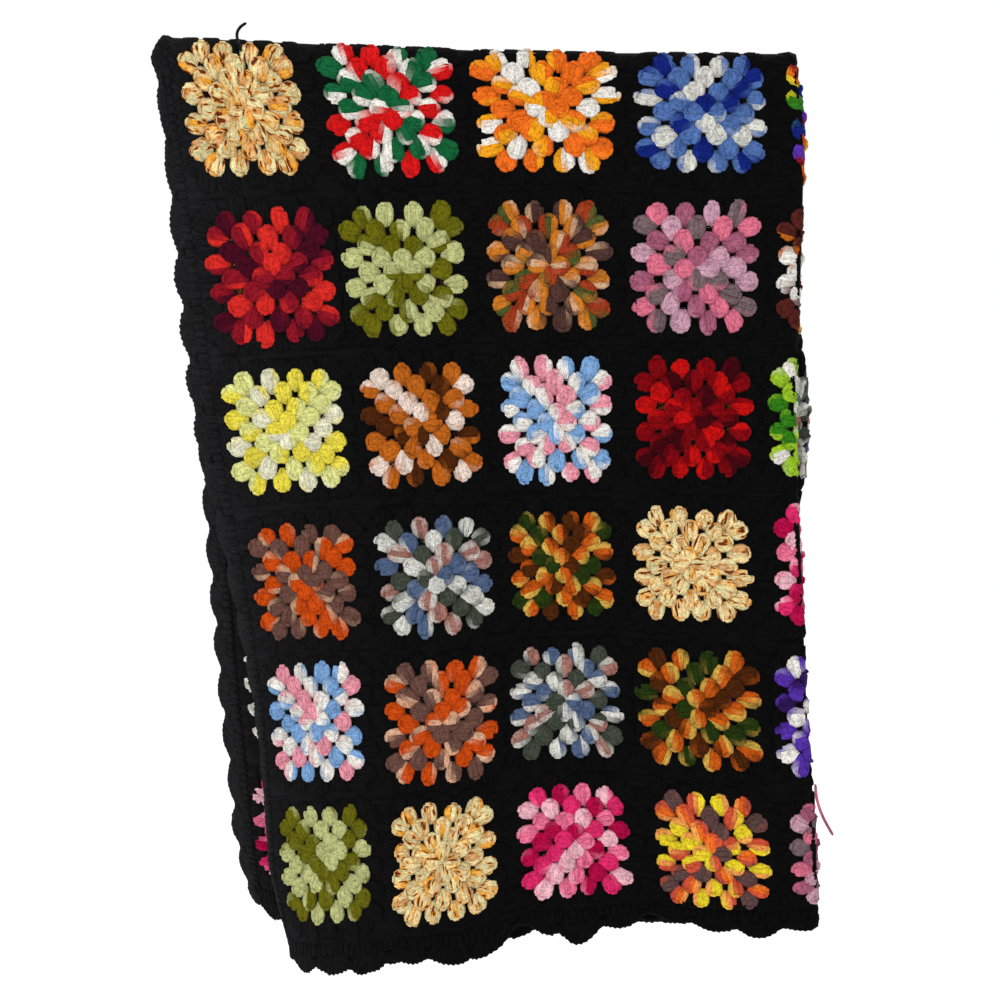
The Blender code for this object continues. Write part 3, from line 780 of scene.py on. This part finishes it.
def net_cloth(material):
    """The thin black cloth behind the stitches: a grid with open spaces and a scalloped rim.

    The grid's outermost lines stand at shares of the edging's depth, which follows the row of arches, so
    every point is found from its two line numbers alone.
    """
    fold = FOLD_COLUMN * SQUARE + np.linspace(-FOLD_ARC, FOLD_ARC, FOLD_STEPS + 1)
    reach = OUTER_RADIUS * math.pi / 2
    top = ROWS * SQUARE / 2 + np.arange(-reach, reach + BEND_STEP / 2, BEND_STEP)
    a, out_a, band_a = rimmed_lines(*net_lines(COLUMNS, fold))
    b, out_b, band_b = rimmed_lines(*net_lines(ROWS, top))
    grid_a, grid_b = np.meshgrid(a, b, indexing="ij")
    push_a, push_b = np.meshgrid(out_a, out_b, indexing="ij")
    round_off = 1.0 - CORNER_ROUNDING * np.minimum(np.abs(push_a), np.abs(push_b))
    depth_a = np.where(push_b == 0, edging_depth(grid_b) - RIM_INSET, EDGING - FAN_DEPTH)
    depth_b = np.where(push_a == 0, edging_depth(grid_a) - RIM_INSET, EDGING - FAN_DEPTH)
    flat_a = EDGING + grid_a + push_a * depth_a * round_off
    flat_b = EDGING + grid_b + push_b * depth_b * round_off
    points = place(flat_a.ravel(), flat_b.ravel(), np.full(flat_a.size, NET_OUT))
    space_a = np.isin(band_a, SPACE_BANDS)[:, None]
    space_b = np.isin(band_b, SPACE_BANDS)[None, :]
    middle = np.isin(band_a, INNER_BANDS)[:, None] & np.isin(band_b, INNER_BANDS)[None, :]
    kept = ~(space_a & space_b & ~middle)
    number = np.arange(flat_a.size).reshape(flat_a.shape)
    corners = np.stack([number[:-1, :-1], number[1:, :-1], number[1:, 1:], number[:-1, 1:]], axis=-1)
    corners = corners[kept]
    sizes = np.full(len(corners), 4)
    flat = np.stack([flat_a.ravel(), flat_b.ravel()], axis=1)
    # the net's black, with painted light towards the left selvage
    colours = black_with_painted_light(flat[:, 0])
    cloth = joined_mesh("blanket_net", points, corners.ravel(), sizes, colours,
                        flat[corners.ravel()], (material,))
    thickening = cloth.modifiers.new("thickness", "SOLIDIFY")
    thickening.thickness = CLOTH_THICKNESS
    thickening.offset = 0.0
    return cloth


BLACK_SHADE_STRAY = 0.08
BLACK_THINNER = 0.95
BLACK_DEPTH_STRAY = 0.05
BLACK_LIFT = 0.0006
BLACK_LIFT_STRAY = 0.0002


def black_stitches(root, tip, girth):
    """Stitches of black yarn, unbowed, between roots and tips on the flat cloth."""
    count = len(root)
    # the edging's black, with painted light towards the left selvage
    colour = black_with_painted_light(root[:, 0]) * RANDOM.normal(1.0, BLACK_SHADE_STRAY, (count, 1))
    return Stitches(
        root=root,
        tip=tip,
        girth=girth * RANDOM.normal(1.0, GIRTH_STRAY, count),
        depth=np.full(count, STITCH_DEPTH) * RANDOM.normal(BLACK_THINNER, BLACK_DEPTH_STRAY, count),
        lift=RANDOM.normal(BLACK_LIFT, BLACK_LIFT_STRAY, count),
        bow=np.zeros(count),
        root_colour=colour,
        mid_colour=colour,
        tip_colour=colour,
        fleck=np.zeros(count),
        black=np.zeros(count, dtype=bool),
    )


FAN_STITCHES = 7
FAN_FOOT = 0.006
FAN_FOOT_SPREAD = 0.45      # how widely a fan's stitches stand at their feet, as a share of their tips
BORDER_PITCH = 0.0074
BORDER_FOOT = -0.003
BORDER_TOP = 0.0105
RIM_WIDTH = 0.0030
RIM_PITCH = 0.0049
RIM_OVERLAP = 0.0020
CORNER_FAN_STITCHES = 8
CORNER_FAN_EDGE = 0.08      # how far the corner fan's end stitches turn in from its sides, in radians
CORNER_FAN_FOOT = 0.004


def edging_side(length):
    """One side's edging as distances along it and depths: upright border stitches, then fans.

    Each fan's stitches spread from a narrow foot to an arch, evenly along the side, and a rim of
    stitches that lie along the arches finishes them.
    """
    uprights = np.arange(BORDER_PITCH / 2, length, BORDER_PITCH)
    roots = [np.stack([uprights, np.full(len(uprights), BORDER_FOOT)], axis=1)]
    tips = [np.stack([uprights, np.full(len(uprights), BORDER_TOP)], axis=1)]
    pitch = SQUARE / FANS_PER_SQUARE
    middles = np.arange(pitch / 2, length, pitch)
    spread = np.linspace(-1.0, 1.0, FAN_STITCHES) * (0.5 - 0.5 / FAN_STITCHES) * pitch
    tip_place = (middles[:, None] + spread).ravel()
    foot_place = (middles[:, None] + FAN_FOOT_SPREAD * spread).ravel()
    roots.append(np.stack([foot_place, np.full(len(foot_place), FAN_FOOT)], axis=1))
    tips.append(np.stack([tip_place, edging_depth(tip_place) - RIM_WIDTH], axis=1))
    rim = np.arange(0.0, length, RIM_PITCH)
    for ends, place_along in ((roots, rim - RIM_OVERLAP), (tips, rim + RIM_PITCH + RIM_OVERLAP)):
        ends.append(np.stack([place_along, edging_depth(place_along) - RIM_WIDTH], axis=1))
    return np.concatenate(roots), np.concatenate(tips)


def edging_stitches():
    """The edging of all four sides and the quarter fans that round the corners."""
    wide = COLUMNS * SQUARE
    long = ROWS * SQUARE
    lots = []
    for length, to_flat in (
        (wide, lambda p: np.stack([EDGING + p[:, 0], EDGING - p[:, 1]], axis=1)),
        (wide, lambda p: np.stack([EDGING + p[:, 0], EDGING + long + p[:, 1]], axis=1)),
        (long, lambda p: np.stack([EDGING - p[:, 1], EDGING + p[:, 0]], axis=1)),
        (long, lambda p: np.stack([EDGING + wide + p[:, 1], EDGING + p[:, 0]], axis=1)),
    ):
        roots, tips = edging_side(length)
        lots.append(black_stitches(to_flat(roots), to_flat(tips), STITCH_GIRTH))
    for corner_a, corner_b in ((0, 0), (1, 0), (0, 1), (1, 1)):
        angles = np.linspace(CORNER_FAN_EDGE, math.pi / 2 - CORNER_FAN_EDGE, CORNER_FAN_STITCHES)
        outward = np.array([2 * corner_a - 1, 2 * corner_b - 1])
        middle = np.array([EDGING + corner_a * wide, EDGING + corner_b * long])
        ray = np.stack([np.cos(angles), np.sin(angles)], axis=1) * outward
        reach = EDGING - FAN_DEPTH + FAN_DEPTH * np.sin(2 * angles) ** FAN_ROUNDNESS
        feet = middle + CORNER_FAN_FOOT * ray
        lots.append(black_stitches(feet, middle + reach[:, None] * ray, STITCH_GIRTH))
    return gather(lots)


PLIES_ROUND = 6             # slanting plies counted round a stitch, and for each metre along it
PLIES_ALONG = 330.0
SPECKS_ROUND = 13.0         # painted shade: dark specks between the fibres, counted round a stitch
SPECKS_ALONG = 190.0        # and for each metre along it
FLECKS_ROUND = 8.0          # coloured flecks of a flecked yarn, counted round a stitch
FLECKS_ALONG = 90.0         # and for each metre along it
FLECK_BAND = 0.5            # how far a plain yarn's noise is lifted clear of its fleck colours
FLECK_BROWN_TO = 0.385
FLECK_AMBER_TO = 0.445
FLECK_ENDS = 0.485
FLECK_TURN = 0.02           # how quickly brown turns into amber
FLECK_AMBER_SHARE = 0.85


def yarn_node(material, kind, values=None, **settings):
    """A shader node of one kind, with its settings and with constants on some of its sockets."""
    node = material.node_tree.nodes.new("ShaderNode" + kind)
    for name, value in settings.items():
        setattr(node, name, value)
    for socket, value in (values or {}).items():
        node.inputs[socket].default_value = value
    return node


def fleck_colours(material):
    """The ramp from a low noise to brown, then amber, then clear."""
    ramp = yarn_node(material, "ValToRGB")
    stops = ramp.color_ramp.elements
    stops[0].position = 0.0
    stops[0].color = (*linear_light(COLOURS["fleck brown"]), 1.0)
    stops[1].position = 1.0
    stops[1].color = (*linear_light(COLOURS["fleck amber"]), 0.0)
    for position, name, share in (
        (FLECK_BROWN_TO, "fleck brown", 1.0),
        (FLECK_BROWN_TO + FLECK_TURN, "fleck amber", 1.0),
        (FLECK_AMBER_TO, "fleck amber", FLECK_AMBER_SHARE),
        (FLECK_ENDS, "fleck amber", 0.0),
    ):
        stop = stops.new(position)
        stop.color = (*linear_light(COLOURS[name]), share)
    return ramp


def make_yarn(name, fibres, sheen, gloss):
    """Matte spun yarn: dyed colour from the piece, slanting plies, fine fibres and a soft sheen.

    The base colour is the dyed colour, overlaid with the fleck ramp, times a mottle of fine noise, times
    dark specks of a noise stretched along the yarn, a painted shade between the fibres. The ramp reads
    noise + band * (1 - fleck), so that a plain yarn, whose fleck is 0, stays clear of it. Diagonal waves
    and the fine noise make the bump.
    """
    material = bpy.data.materials.new(name)
    material.use_nodes = True
    links = material.node_tree.links
    shader = material.node_tree.nodes["Principled BSDF"]
    dyed = yarn_node(material, "Attribute", attribute_name="yarn_colour")
    place_on = yarn_node(material, "TexCoord")
    lay = yarn_node(material, "UVMap", uv_map="yarn_lay")
    plies_scale = (PLIES_ROUND * math.pi / 5, PLIES_ALONG * math.pi / 5, 1.0)
    slant = yarn_node(material, "Mapping", {"Scale": plies_scale})
    plies = yarn_node(material, "TexWave", {"Scale": 1.0, "Distortion": 3.0, "Detail": 1.0},
                      wave_type="BANDS", bands_direction="DIAGONAL")
    lengthwise = yarn_node(material, "Mapping", {"Scale": (SPECKS_ROUND, SPECKS_ALONG, 1.0)})
    # painted shade: dark specks between the fibres
    specks = yarn_node(material, "TexNoise", {"Scale": 1.0, "Detail": 2.0, "Roughness": 0.8})
    speckle = yarn_node(material, "MapRange", {"From Min": 0.34, "From Max": 0.56,
                                               "To Min": 0.52, "To Max": 1.08})
    speckled = yarn_node(material, "Mix", {"Factor": 1.0}, data_type="RGBA", blend_type="MULTIPLY")
    flecked = yarn_node(material, "Attribute", attribute_name="fleck")
    streaks = yarn_node(material, "Mapping", {"Scale": (FLECKS_ROUND, FLECKS_ALONG, 1.0)})
    flecks = yarn_node(material, "TexNoise", {"Scale": 1.0, "Detail": 1.5})
    cleared = yarn_node(material, "Math", {1: -FLECK_BAND}, operation="MULTIPLY_ADD")
    lifted = yarn_node(material, "Math", {1: FLECK_BAND}, operation="ADD")
    fleck_ramp = fleck_colours(material)
    with_flecks = yarn_node(material, "Mix", data_type="RGBA")
    fuzz = yarn_node(material, "TexNoise", {"Scale": fibres, "Detail": 3.0, "Roughness": 0.7})
    mottle = yarn_node(material, "MapRange", {"From Min": 0.3, "From Max": 0.7,
                                              "To Min": 0.62, "To Max": 1.22})
    shade = yarn_node(material, "Mix", {"Factor": 1.0}, data_type="RGBA", blend_type="MULTIPLY")
    ply_bump = yarn_node(material, "Bump", {"Strength": 0.5, "Distance": 0.0009})
    fuzz_bump = yarn_node(material, "Bump", {"Strength": 0.6, "Distance": 0.0006})
    links.new(lay.outputs["UV"], slant.inputs["Vector"])
    links.new(slant.outputs["Vector"], plies.inputs["Vector"])
    links.new(place_on.outputs["Object"], fuzz.inputs["Vector"])
    links.new(fuzz.outputs["Fac"], mottle.inputs["Value"])
    links.new(lay.outputs["UV"], streaks.inputs["Vector"])
    links.new(streaks.outputs["Vector"], flecks.inputs["Vector"])
    links.new(flecked.outputs["Fac"], cleared.inputs[0])
    links.new(flecks.outputs["Fac"], cleared.inputs[2])
    links.new(cleared.outputs["Value"], lifted.inputs[0])
    links.new(lifted.outputs["Value"], fleck_ramp.inputs["Fac"])
    links.new(fleck_ramp.outputs["Alpha"], with_flecks.inputs["Factor"])
    links.new(dyed.outputs["Color"], with_flecks.inputs["A"])
    links.new(fleck_ramp.outputs["Color"], with_flecks.inputs["B"])
    links.new(with_flecks.outputs["Result"], shade.inputs["A"])
    links.new(mottle.outputs["Result"], shade.inputs["B"])
    links.new(lay.outputs["UV"], lengthwise.inputs["Vector"])
    links.new(lengthwise.outputs["Vector"], specks.inputs["Vector"])
    links.new(specks.outputs["Fac"], speckle.inputs["Value"])
    links.new(shade.outputs["Result"], speckled.inputs["A"])
    links.new(speckle.outputs["Result"], speckled.inputs["B"])
    links.new(speckled.outputs["Result"], shader.inputs["Base Color"])
    links.new(plies.outputs["Fac"], ply_bump.inputs["Height"])
    links.new(fuzz.outputs["Fac"], fuzz_bump.inputs["Height"])
    links.new(ply_bump.outputs["Normal"], fuzz_bump.inputs["Normal"])
    links.new(fuzz_bump.outputs["Normal"], shader.inputs["Normal"])
    shader.inputs["Roughness"].default_value = 0.85
    shader.inputs["Specular IOR Level"].default_value = gloss
    shader.inputs["Sheen Weight"].default_value = sheen
    shader.inputs["Sheen Roughness"].default_value = 0.4
    return material


BACK_YARNS = ("meadow", "berry", "nursery", "fox", "ocean", "lemon", "brick", "blossom", "autumn",
              "oatmeal", "iris", "harbour", "cherry", "marigold", "forest", "heather", "clover", "sand")


def all_squares():
    """Every square by column and row of the flat cloth.

    Those that aren't in the front's list take their yarns from the back's list, 7 further for each column
    and 5 for each row. Three of them are then given yarns of their own.
    """
    squares = {(s.column - 1, ROWS // 2 - s.row): s for s in FRONT_SQUARES}
    for column in range(COLUMNS):
        for row in range(ROWS):
            if (column, row) not in squares:
                yarn = BACK_YARNS[(column * 7 + row * 5) % len(BACK_YARNS)]
                starts = tuple((column * 3 + row * 11 + turn) % 12 for turn in (3, 0, 6, 0))
                squares[column, row] = Square(0, 0, yarn, starts, 1.02, 1.0, 0, 0)
    squares[0, 10] = squares[0, 10]._replace(yarn="snow")
    squares[0, 11] = squares[0, 11]._replace(
        yarn="peony", starts=(0.0, 0.0, 0.0, 2.5), widen=1.08, right=-3.5)
    squares[4, 8] = squares[4, 8]._replace(yarn="pebble")
    return squares


def make_blanket():
    """The blanket's pieces: the net, the squares in six lots, and the edging."""
    dyed = make_yarn("dyed yarn", 900.0, 0.03, 0.04)
    black = make_yarn("black yarn", 900.0, 0.01, 0.03)
    cloth = net_cloth(black)
    lots = {}
    for (column, row), square in all_squares().items():
        if column >= OUTER_COLUMNS:
            lot = "inner_front_squares" if row < ROWS // 2 else "inner_back_squares"
        elif row < ROWS // 2:
            lot = "front_lower_squares" if row < 3 else "front_upper_squares"
        else:
            lot = "back_upper_squares" if row < 9 else "back_lower_squares"
        lots.setdefault(lot, []).append(square_stitches(column, row, square))
    pieces = []
    for lot, parts in sorted(lots.items()):
        template = PLAIN_STRAND if lot.startswith("inner") else FULL_STRAND
        pieces.append(stitch_mesh(lot, gather(parts), template, (dyed, black)))
    pieces.append(stitch_mesh("fan_edging", edging_stitches(), FULL_STRAND, (black,)))
    for piece in (cloth, *pieces):
        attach(piece, "root")
    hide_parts("blanket")
    for piece in pieces:
        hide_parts("blanket")


SIDE_YARN_ROUTE = (
    (0.3326, -0.0260, -0.7080),
    (0.3333, -0.0262, -0.7165),
    (0.3350, -0.0268, -0.7255),
    (0.3380, -0.0278, -0.7350),
    (0.3420, -0.0288, -0.7440),
    (0.3465, -0.0296, -0.7520),
    (0.3505, -0.0300, -0.7590),
)
TOP_YARN_ROUTE = (
    (-0.2262, -0.0221, 0.0076),
    (-0.2280, -0.0177, 0.0136),
    (-0.2300, -0.0117, 0.0180),
    (-0.2312, -0.0080, 0.0222),
    (-0.2306, -0.0055, 0.0268),
    (-0.2275, -0.0040, 0.0312),
    (-0.2225, -0.0030, 0.0345),
)
YARN_RADIUS = 0.0015
YARN_STATIONS = 25
YARN_SIDES = 10
YARN_END_GIRTH = 0.6        # the end rings, as a share of the full girth
YARN_END_POWER = 24         # how late the girth narrows towards the ends
YARN_SIDE_HINT = (0.3, 0.8, 0.5)


def make_yarn_end(name, node, route, names, material):
    """A loose end as a round strand along a smooth line through its route's points.

    Its girth is radius * sqrt(1 - |s|^24), where s runs from -1 to 1 along it.
    """
    route = np.array(route)
    chords = np.linalg.norm(np.diff(route, axis=0), axis=1)
    reach = np.concatenate([[0.0], np.cumsum(chords)])
    steps = np.linspace(0.0, reach[-1], YARN_STATIONS)
    line = spline_weights(reach, steps) @ route
    ahead = np.gradient(line, axis=0)
    ahead /= np.linalg.norm(ahead, axis=1, keepdims=True)
    side = np.cross(ahead, np.array(YARN_SIDE_HINT))
    side /= np.linalg.norm(side, axis=1, keepdims=True)
    other = np.cross(ahead, side)
    angles = np.arange(YARN_SIDES) * 2 * math.pi / YARN_SIDES
    narrowing = np.abs(np.linspace(-1, 1, YARN_STATIONS)) ** YARN_END_POWER
    girth = YARN_RADIUS * np.sqrt(1.0 - narrowing)[:, None, None]
    ring = np.cos(angles)[None, :, None] * side[:, None] + np.sin(angles)[None, :, None] * other[:, None]
    girth[0] = YARN_RADIUS * YARN_END_GIRTH
    girth[-1] = YARN_RADIUS * YARN_END_GIRTH
    points = line[:, None] + girth * ring
    number = np.arange(YARN_STATIONS * YARN_SIDES).reshape(YARN_STATIONS, YARN_SIDES)
    after = np.roll(number, -1, axis=1)
    quads = np.stack([number[:-1], after[:-1], after[1:], number[1:]], axis=-1).reshape(-1, 4)
    points = np.concatenate([points.reshape(-1, 3), line[:1], line[-1:]])
    start = np.stack([np.full(YARN_SIDES, len(points) - 2), after[0], number[0]], axis=1)
    end = np.stack([np.full(YARN_SIDES, len(points) - 1), number[-1], after[-1]], axis=1)
    corners = np.concatenate([quads.ravel(), start.ravel(), end.ravel()])
    sizes = np.concatenate([np.full(len(quads), 4), np.full(2 * YARN_SIDES, 3)])
    shares = np.concatenate([np.repeat(np.linspace(0, 1, YARN_STATIONS), YARN_SIDES), [0.0, 1.0]])
    tones = np.array([linear_light(COLOURS[n]) for n in names])
    at = shares * (len(names) - 1)
    low = np.minimum(at.astype(int), len(names) - 2)
    colours = tones[low] * (1 - (at - low))[:, None] + tones[low + 1] * (at - low)[:, None]
    turn = np.concatenate([np.tile(angles / (2 * math.pi), YARN_STATIONS), [0.0, 0.0]])
    lay = np.stack([turn, shares * reach[-1]], axis=1)[corners]
    piece = joined_mesh(name, points, corners, sizes, colours, lay, (material,))
    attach(piece, "root")
    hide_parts(node)


LENS = 89.54                # millimetres, for a sensor 36 wide
SENSOR = 36.0
CAMERA_PLACE = (0.020, -2.4231, -0.0699)
CAMERA_DOWN = 8.5           # degrees below level
FLOOR_HALF = 6
FLOOR_HEIGHT = -1.25
LIT_PLACE = (0, 0, -0.45)


def make_camera():
    """The camera in front of the blanket, looking a little down."""
    camera = bpy.data.cameras.new("camera")
    camera.sensor_width = SENSOR
    camera.lens = LENS
    camera.shift_y = 0.005
    placed = bpy.data.objects.new("camera", camera)
    placed.location = CAMERA_PLACE
    placed.rotation_euler = Euler((math.radians(90 - CAMERA_DOWN), 0.0, 0.0))
    bpy.context.scene.collection.objects.link(placed)
    bpy.context.scene.camera = placed


def make_light(name, location, target, size, power, colour):
    """A square soft light that faces its target."""
    light = bpy.data.lights.new(name, "AREA")
    light.shape = "SQUARE"
    light.size = size
    light.energy = power
    light.color = colour
    placed = bpy.data.objects.new(name, light)
    placed.location = location
    placed.rotation_euler = (Vector(target) - Vector(location)).to_track_quat("-Z", "Y").to_euler()
    bpy.context.scene.collection.objects.link(placed)


def make_floor():
    """A wide white floor below the hem."""
    mesh = bpy.data.meshes.new("floor")
    signs = ((-1, -1), (1, -1), (1, 1), (-1, 1))
    corners = [(x * FLOOR_HALF, y * FLOOR_HALF, FLOOR_HEIGHT) for x, y in signs]
    mesh.from_pydata(corners, [], [(0, 1, 2, 3)])
    floor = bpy.data.objects.new("floor", mesh)
    bpy.context.scene.collection.objects.link(floor)
    material = bpy.data.materials.new("pale floor")
    material.use_nodes = True
    shader = material.node_tree.nodes["Principled BSDF"]
    shader.inputs["Base Color"].default_value = (1.0, 1.0, 1.0, 1.0)
    shader.inputs["Roughness"].default_value = 0.9
    mesh.materials.append(material)


def make_world():
    """An evenly lit white room, shown with plain display colours."""
    world = bpy.data.worlds.new("studio")
    world.use_nodes = True
    background = world.node_tree.nodes["Background"]
    background.inputs["Color"].default_value = (1.0, 1.0, 1.0, 1.0)
    background.inputs["Strength"].default_value = 1.0
    bpy.context.scene.world = world
    bpy.context.scene.view_settings.view_transform = "Standard"


make_camera()
make_world()
make_floor()
make_light("key", (-1.6, -2.2, 1.5), LIT_PLACE, 1.0, 26, (1.0, 0.99, 0.97))
make_light("behind", (1.2, 2.4, 1.3), LIT_PLACE, 1.0, 22, (1.0, 1.0, 1.0))
make_blanket()
strand_yarn = make_yarn("loose yarn", 1400.0, 0.05, 0.1)
make_yarn_end("side_yarn_tail", "side_yarn_end", SIDE_YARN_ROUTE,
              ("mauve", "pink", "mauve", "mauve"), strand_yarn)
make_yarn_end("top_yarn_tail", "top_yarn_end", TOP_YARN_ROUTE,
              ("black", "black"), strand_yarn)
